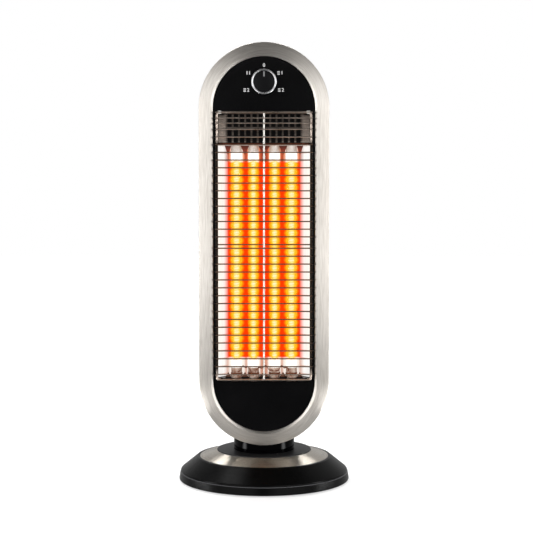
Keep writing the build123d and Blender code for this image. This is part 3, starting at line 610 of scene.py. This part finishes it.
# Behind the slots a black-lacquered wire gauze keeps fingers and light away from the wiring. It
# is tacked to the back of the vent plate at its edges.
GAUZE_HALF = 0.0605
GAUZE_LOW_Z = 0.5482
GAUZE_HIGH_Z = 0.5995
GAUZE_FRONT_Y = -0.0504
GAUZE_BACK_Y = -0.0499
gauze_black = finish("gauze_black", paint(5, 5, 5), paint(12, 11, 11), (0.7, 0.85), grain=1200, bump=0.9,
                     specular=0.1)
gauze = skin("vent_gauze", [plate(-GAUZE_HALF, GAUZE_HALF, GAUZE_LOW_Z, GAUZE_HIGH_Z,
                                  GAUZE_FRONT_Y, GAUZE_BACK_Y)])
fit(gauze, gauze_black, "vent_steel", "head")

# The reflector is polished aluminium with a hollow flute behind each tube. The tubes' light on it
# is a painted reflection, set as emission: yellow behind each one, deep orange between them, clear
# white at the wings.
tube_boxes = [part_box(f"quartz_tube_{number}") for number in (1, 2, 3, 4)]
TUBE_X = [round((low.x + high.x) / 2, 4) for low, high in tube_boxes]
LIT_LOW_Z = 0.204
LIT_HIGH_Z = 0.521
OUTER_TUBE_X = 0.03
OUTER_NARROWING = 0.80
LINE_CHANGE_Z = 0.3851
UPPER_LINES = (0.5728, 0.006164)
LOWER_LINES = (0.3818, 0.006377)


def from_tubes(tree, across):
    """How far a point is from the nearest tube, sideways. The two outer tubes look wider."""
    nearest = 1.0
    for x in TUBE_X:
        narrowing = OUTER_NARROWING if abs(x) > OUTER_TUBE_X else 1.0
        offset = combine(tree, away(tree, across, x), narrowing, "MULTIPLY")
        nearest = combine(tree, offset, nearest, "MINIMUM")
    return nearest


def midway_between(tree, height, lines):
    """0 at each dark line, and 1 midway between two. Lines are a height and half their pitch."""
    first_z, half_pitch = lines
    folded = combine(tree, combine(tree, first_z, height, "SUBTRACT"), half_pitch, "PINGPONG")
    return span(tree, folded, 0, half_pitch, 0, 1)


def between_wires(tree, height):
    """0 behind each cross wire of the guard, 1 midway between two, for both wire spacings."""
    in_upper = span(tree, height, LINE_CHANGE_Z - 0.0001, LINE_CHANGE_Z + 0.0001, 0, 1)
    in_lower = combine(tree, 1.0, in_upper, "SUBTRACT")
    upper = combine(tree, midway_between(tree, height, UPPER_LINES), in_upper, "MULTIPLY")
    lower = combine(tree, midway_between(tree, height, LOWER_LINES), in_lower, "MULTIPLY")
    return combine(tree, upper, lower)


GLOW_REACH = 0.016
WING_START_X = 0.0578
WING_FULL_X = 0.0648
mirror, tree = bare_material("polished_reflector")
place, axes = object_place(tree)
rolled = add(tree, "Mapping", {"Vector": place, "Scale": (1, 1, 0.03)}).outputs["Vector"]
lines = noise(tree, rolled, 1500.0)
midway = between_wires(tree, axes["Z"])
behind_wire = combine(tree, 1.0, midway, "SUBTRACT")
distance = from_tubes(tree, axes["X"])
# Behind each cross wire the painted glow narrows, as painted shade.
swollen = combine(tree, distance, span(tree, behind_wire, 0.2, 1.0, 0, 0.0022))
beside_lit = ramp(tree, span(tree, swollen, 0.0, GLOW_REACH, 0, 1), [
    (0.00, paint(255, 220, 60)), (0.40, paint(255, 190, 24)), (0.50, paint(255, 128, 8)),
    (0.66, paint(253, 62, 2)), (1.00, paint(250, 60, 4)),
])
outside = span(tree, distance, 0.0, GLOW_REACH, 0, 1)
beside_ends = ramp(tree, outside, [
    (0.00, paint(252, 250, 246)), (0.42, paint(250, 240, 230)), (0.56, paint(226, 146, 112)),
    (0.72, paint(180, 76, 46)), (1.00, paint(120, 48, 32)),
])
beside_foot = ramp(tree, outside, [
    (0.00, paint(250, 248, 244)), (0.55, paint(246, 238, 230)), (0.80, paint(206, 150, 128)),
    (1.00, paint(196, 140, 118)),
])
above = span(tree, axes["Z"], LIT_HIGH_Z - 0.001, LIT_HIGH_Z + 0.002, 0, 1)
below = span(tree, axes["Z"], LIT_LOW_Z + 0.001, LIT_LOW_Z - 0.002, 0, 1)
middle = blend_colours(tree, below, blend_colours(tree, above, beside_lit, beside_ends), beside_foot)
# Painted shadow lines of the cross wires run across the bright wings.
wire_shadow = span(tree, midway, 0.06, 0.26, 0.60, 0.0)
wing_glare = blend_colours(tree, wire_shadow, paint(252, 250, 247), paint(196, 140, 118))
wing = span(tree, away(tree, axes["X"]), WING_START_X, WING_FULL_X, 0, 1)
painted_glow = blend_colours(tree, wing, middle, wing_glare)
glow_share = span(tree, lines, 0.35, 0.65, 0.10, 0.22)
# The painted reflection is the emission, and it also tints the base colour.
shader = add(tree, "BsdfPrincipled", {
    "Base Color": blend_colours(tree, glow_share, paint(12, 10, 10), painted_glow),
    "Roughness": span(tree, lines, 0.3, 0.7, 0.22, 0.34),
    "Normal": relief(tree, lines, 0.12),
    "Metallic": 1.0,
    "Emission Color": painted_glow,
    "Emission Strength": span(tree, lines, 0.3, 0.7, 0.88, 0.97),
})
add(tree, "OutputMaterial", {"Surface": shader.outputs[0]})
dress(mirror, "reflector")

# Each tube is clear quartz, sealed and slightly milky at both ends. Inside is a woven carbon
# rope, white hot, with a holding wire wound round it, on thin molybdenum leads.
glass, tree = bare_material("quartz_glass")
place, axes = object_place(tree)
haze = noise(tree, place, 160.0, detail=4.0)
sealed = combine(tree, span(tree, axes["Z"], LIT_LOW_Z + 0.002, LIT_LOW_Z - 0.003, 0, 1),
                 span(tree, axes["Z"], LIT_HIGH_Z - 0.002, LIT_HIGH_Z + 0.003, 0, 1))
milky = ramp(tree, haze, [(0.3, paint(232, 230, 226)), (0.7, paint(250, 250, 250))])
# The glass's emission is a painted glow: orange along its lit length, white at its sealed ends.
shader = add(tree, "BsdfPrincipled", {
    "Base Color": blend_colours(tree, sealed, paint(210, 130, 40), milky),
    "Roughness": span(tree, haze, 0.3, 0.7, 0.10, 0.14),
    "Alpha": combine(tree, span(tree, sealed, 0, 1, 0.12, 0.50), span(tree, haze, 0.3, 0.7, -0.02, 0.02)),
    "IOR": 1.46,
    "Emission Color": blend_colours(tree, sealed, paint(255, 168, 12), paint(250, 248, 244)),
    "Emission Strength": span(tree, sealed, 0, 1, 0.85, 0.55),
})
add(tree, "OutputMaterial", {"Surface": shader.outputs[0]})
dress(glass, *[f"quartz_tube_{number}" for number in (1, 2, 3, 4)])


def glowing(name, stops, grain, strength):
    """Incandescent carbon with a woven grain. Its glow is painted more orange at its sides, and painted shade
    dims it behind the guard's wires.
    """
    material, tree = bare_material(name)
    place, axes = object_place(tree)
    weave = noise(tree, place, grain)
    side = span(tree, from_tubes(tree, axes["X"]), 0.0, 0.0052, 0, 1)
    side = combine(tree, combine(tree, side, 2.0, "POWER"), 0.85, "MULTIPLY")
    behind_wire = combine(tree, 1.0, between_wires(tree, axes["Z"]), "SUBTRACT")
    shaded = combine(tree, combine(tree, behind_wire, 1.5, "POWER"), 0.55, "MULTIPLY")
    painted_fade = combine(tree, shaded, side)
    painted_fade = combine(tree, painted_fade, span(tree, weave, 0.3, 0.7, -0.08, 0.08))
    shader = add(tree, "BsdfPrincipled", {
        "Base Color": ramp(tree, weave, [(0.3, paint(40, 34, 30)), (0.7, paint(66, 58, 52))]),
        "Roughness": span(tree, weave, 0.3, 0.7, 0.6, 0.8),
        "Normal": relief(tree, weave, 0.3),
        "Emission Color": ramp(tree, painted_fade, stops, smooth=False),
        "Emission Strength": strength,
    })
    add(tree, "OutputMaterial", {"Surface": shader.outputs[0]})
    return material


first_low, first_high = tube_boxes[0]
TUBE_Y = round((first_low.y + first_high.y) / 2, 4)
TUBE_LOW_Z = round(first_low.z, 4)
TUBE_HIGH_Z = round(first_high.z, 4)
ROPE_R = 0.0046
ROPE_STEPS = 30
CRIMP_R = 0.0017
LEAD_R = 0.0007
CRIMP = [(LEAD_R, 0.007), (CRIMP_R, 0.006), (CRIMP_R, 0.001)]
WINDING_R = 0.0054
WINDING_PITCH = 0.00413
WINDING_WIDTH = 0.0009
WINDING_THICK = 0.0008
WINDING_STEPS = 22


def rope_profile():
    """(radius, height) pairs of a lead, a crimp, the lit rope, and a crimp and a lead again."""
    lower = [(radius, LIT_LOW_Z - distance) for radius, distance in CRIMP]
    upper = [(radius, LIT_HIGH_Z + distance) for radius, distance in reversed(CRIMP)]
    lit = [(ROPE_R, LIT_LOW_Z + (LIT_HIGH_Z - LIT_LOW_Z) * k / ROPE_STEPS) for k in range(ROPE_STEPS + 1)]
    return [(LEAD_R, TUBE_LOW_Z), *lower, *lit, *upper, (LEAD_R, TUBE_HIGH_Z)]


def turned(profile, x, y, steps=20):
    """Rings of a body turned about an upright axis at x, y, from (radius, height) pairs."""
    turns = [2 * math.pi * k / steps for k in range(steps)]
    return [[(x + r * math.cos(a), y + r * math.sin(a), z) for a in turns] for r, z in profile]


def band_ring(x, reach, angle, z, thick, width):
    """The four corners of a flat band's section at one angle round a tube's axis."""
    corners = ((0, -0.5), (0, 0.5), (thick, 0.5), (thick, -0.5))
    return [(x + (reach + out) * math.cos(angle), TUBE_Y + (reach + out) * math.sin(angle), z + up * width)
            for out, up in corners]


def winding(x):
    """Rings of the wire wound round one rope."""
    count = round((LIT_HIGH_Z - LIT_LOW_Z) / WINDING_PITCH * WINDING_STEPS)
    rings = []
    for i in range(count + 1):
        angle = 2 * math.pi * i / WINDING_STEPS
        z = LIT_LOW_Z + (LIT_HIGH_Z - LIT_LOW_Z) * i / count
        rings.append(band_ring(x, WINDING_R, angle, z, -WINDING_THICK, WINDING_WIDTH))
    return rings


rope_glow = glowing("carbon_glow", [(0.0, paint(255, 255, 228)), (0.30, paint(255, 246, 150)),
                                    (0.62, paint(255, 216, 56)), (1.0, paint(255, 184, 22))], 700, 1.0)
holder_glow = glowing("holder_glow", [(0.0, paint(255, 236, 120)), (0.5, paint(255, 204, 52)),
                                      (1.0, paint(255, 160, 12))], 500, 0.96)
for number, x in enumerate(TUBE_X, start=1):
    rope = skin(f"carbon_rope_{number}", [turned(rope_profile(), x, TUBE_Y)])
    fit(rope, rope_glow, "glowing_carbon", "head", f"carbon_filament_{number}")
    holder = skin(f"carbon_winding_{number}", [winding(x)], sharp=40)
    fit(holder, holder_glow, "glowing_carbon", "head")

# Sheet brackets with pointed tongues hold the tubes. The upper one turns red-brown on its tongues,
# darkest where they meet the bracket, and heat has blackened the lower. Ceramic caps close the
# tubes, with spring clips and jumper straps on the lower ones.
tinted = finish("heat_tinted_steel", paint(88, 36, 22), paint(142, 74, 48), (0.30, 0.45),
                stretch=(0.1, 1, 1), mottling=120, metallic=0.85)
bracket_steel = finish("bracket_steel", paint(226, 216, 208), paint(248, 242, 236), (0.30, 0.45),
                       stretch=(0.1, 1, 1), mottling=120, metallic=0.4)
tongue_tones = [(0.0, paint(190, 92, 56)), (0.5, paint(150, 62, 38)), (1.0, paint(84, 34, 22))]
tint_by_height(bracket_steel, tongue_tones, low_z=0.530, high_z=0.5458)
dark_steel = finish("heat_blackened_steel", paint(78, 46, 34), paint(134, 88, 68), (0.35, 0.50),
                    stretch=(0.1, 1, 1), mottling=120, metallic=0.6)
blackened_tray = [(0.0, paint(12, 9, 8)), (1.0, paint(26, 17, 14))]
tint_by_height(dark_steel, blackened_tray, low_z=0.160, high_z=0.1750)
ceramic = finish("tube_ceramic", paint(224, 206, 192), paint(250, 244, 238), (0.55, 0.7), bump=0.3,
                 mottling=120)
stained = finish("stained_ceramic", paint(156, 108, 84), paint(232, 212, 196), (0.55, 0.7), bump=0.3,
                 mottling=110, streaks=0.30)
dress(bracket_steel, "upper_tube_bracket")
dress(dark_steel, "lower_tube_bracket")
dress(tinted, "busbars")
dress(ceramic, "upper_end_caps")
dress(stained, "lower_end_caps")
dress(zinc, "heat_shield")
CLIP_Z = 0.1795
CLIP_R = 0.0089
CLIP_THICK = 0.0006
CLIP_WIDTH = 0.0036
CLIP_SWEEP = 280
CLIP_FLARE = 0.0016
CLIP_FLARED_SHARE = 0.2
CLIP_STEPS = 32
STRAP_Z = 0.1812
STRAP_RISE = 0.0095
STRAP_BUCKLE = 0.22
STRAP_HEIGHT = 0.0016
STRAP_FRONT_Y = -0.0494
STRAP_BACK_Y = -0.0470
STRAP_INSET = 0.002
STRAP_STEPS = 16


def clip(x):
    """Rings of a three-quarter round spring clip, open at the back, with turned-out ends."""
    rings = []
    for i in range(CLIP_STEPS + 1):
        angle = math.radians(-90 + CLIP_SWEEP * (i / CLIP_STEPS - 0.5))
        from_middle = abs(2 * i / CLIP_STEPS - 1)
        flare = CLIP_FLARE * max(0.0, from_middle - (1 - CLIP_FLARED_SHARE)) / CLIP_FLARED_SHARE
        rings.append(band_ring(x, CLIP_R + flare, angle, CLIP_Z, CLIP_THICK, CLIP_WIDTH))
    return rings


def jumper(x0, x1):
    """Rings of a flat strap that arches from one cap to the next. Heat has buckled each differently."""
    rings = []
    for i in range(STRAP_STEPS + 1):
        t = i / STRAP_STEPS
        x = x0 + (x1 - x0) * t
        buckle = STRAP_BUCKLE * math.sin(5 * math.pi * t + x0 * 90)
        low = STRAP_Z + STRAP_RISE * (math.sin(math.pi * t) + buckle)
        high = low + STRAP_HEIGHT
        rings.append([(x, STRAP_FRONT_Y, low), (x, STRAP_FRONT_Y, high), (x, STRAP_BACK_Y, high),
                      (x, STRAP_BACK_Y, low)])
    return rings


fit(skin("tube_clips", [clip(x) for x in TUBE_X]), tinted, "heat_tinted_steel", "head")
strap_steel = finish("strap_steel", paint(112, 60, 40), paint(172, 106, 76), (0.35, 0.50), bump=0.2,
                     mottling=160, metallic=0.5)
straps = [jumper(left + STRAP_INSET, right - STRAP_INSET) for left, right in zip(TUBE_X, TUBE_X[1:])]
fit(skin("cap_jumpers", straps), strap_steel, "heat_tinted_steel", "head")


# The guard is nickel-plated steel: a loop and a centre rod, staple-shaped cross wires spot-welded
# to their fronts, a stiffener behind them, four posts, and bright saddles at the upper corners.
def guard_nickel(name, rough, browning_and_shade):
    """Nickel-plated wire, browned by heat in front of the tubes, with painted shade along the underside of
    the bottom rod and painted black shadow over its ends.
    """
    material = finish(name, paint(168, 154, 143), paint(212, 198, 187), rough, grain=1400, bump=0.04,
                      mottling=40, metallic=1.0)
    tree, socket, nickel = second_coat(material)
    axes = object_place(tree)[1]
    below_vents = span(tree, axes["Z"], 0.548, 0.556, 1, 0)
    above_caps = span(tree, axes["Z"], 0.178, 0.190, 0, 1)
    # Painted shade on the underside of the loop's bottom rod, darkened with the same colour as the heat
    # browning.
    underside_shade = span(tree, axes["Z"], 0.1708, 0.1716, 1, 0)
    heat_and_shade = combine(tree, combine(tree, below_vents, above_caps, "MULTIPLY"), underside_shade, "MAXIMUM")
    browned_and_shaded = add(tree, "Mix", {0: heat_and_shade, 6: nickel, 7: browning_and_shade}, data_type="RGBA", blend_type="MULTIPLY")
    # Painted black shadow over the wire ends at the sides.
    end_shadow = span(tree, away(tree, axes["X"]), 0.0768, 0.0774, 0, 1)
    tree.links.new(blend_colours(tree, end_shadow, browned_and_shaded.outputs[2], paint(14, 13, 13)), socket)
    return material


wire_nickel = guard_nickel("guard_wire", (0.26, 0.36), browning_and_shade=(0.50, 0.41, 0.35, 1))
loop_nickel = guard_nickel("guard_loop", (0.36, 0.46), browning_and_shade=(0.03, 0.025, 0.02, 1))
rod_white = finish("rod_plating", paint(226, 222, 216), paint(246, 243, 238), (0.22, 0.32), grain=1400,
                   bump=0.06, metallic=0.15)
dress(wire_nickel, "guard_cross_wires")
dress(loop_nickel, "guard_frame", "guard_lugs")
dress(rod_white, "guard_centre_rod")
guard_low, guard_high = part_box("guard_frame")
GUARD_ROD_R = 0.0018
GUARD_ROD_Y = round((guard_low.y + guard_high.y) / 2, 4)
GUARD_HIGH_Z = round(guard_high.z - GUARD_ROD_R, 4)
SADDLE_X = 0.0705
SADDLE_IN_R = 0.0019
SADDLE_OUT_R = 0.0025
SADDLE_HALF = 0.0027
SADDLE_SWEEP = 290
SADDLE_STEPS = 14


def saddle(x):
    """Rings of a bright saddle that wraps the loop's top rod, open towards the fascia."""
    corners = ((SADDLE_IN_R, -SADDLE_HALF), (SADDLE_IN_R, SADDLE_HALF), (SADDLE_OUT_R, SADDLE_HALF),
               (SADDLE_OUT_R, -SADDLE_HALF))
    rings = []
    for i in range(SADDLE_STEPS + 1):
        angle = math.radians(180 + SADDLE_SWEEP * (i / SADDLE_STEPS - 0.5))
        rings.append([(x + across, GUARD_ROD_Y + r * math.cos(angle), GUARD_HIGH_Z + r * math.sin(angle))
                      for r, across in corners])
    return rings


saddles = [saddle(x) for x in (-SADDLE_X, SADDLE_X)]
fit(skin("guard_clamps", saddles), rod_white, "guard_wire", "head")
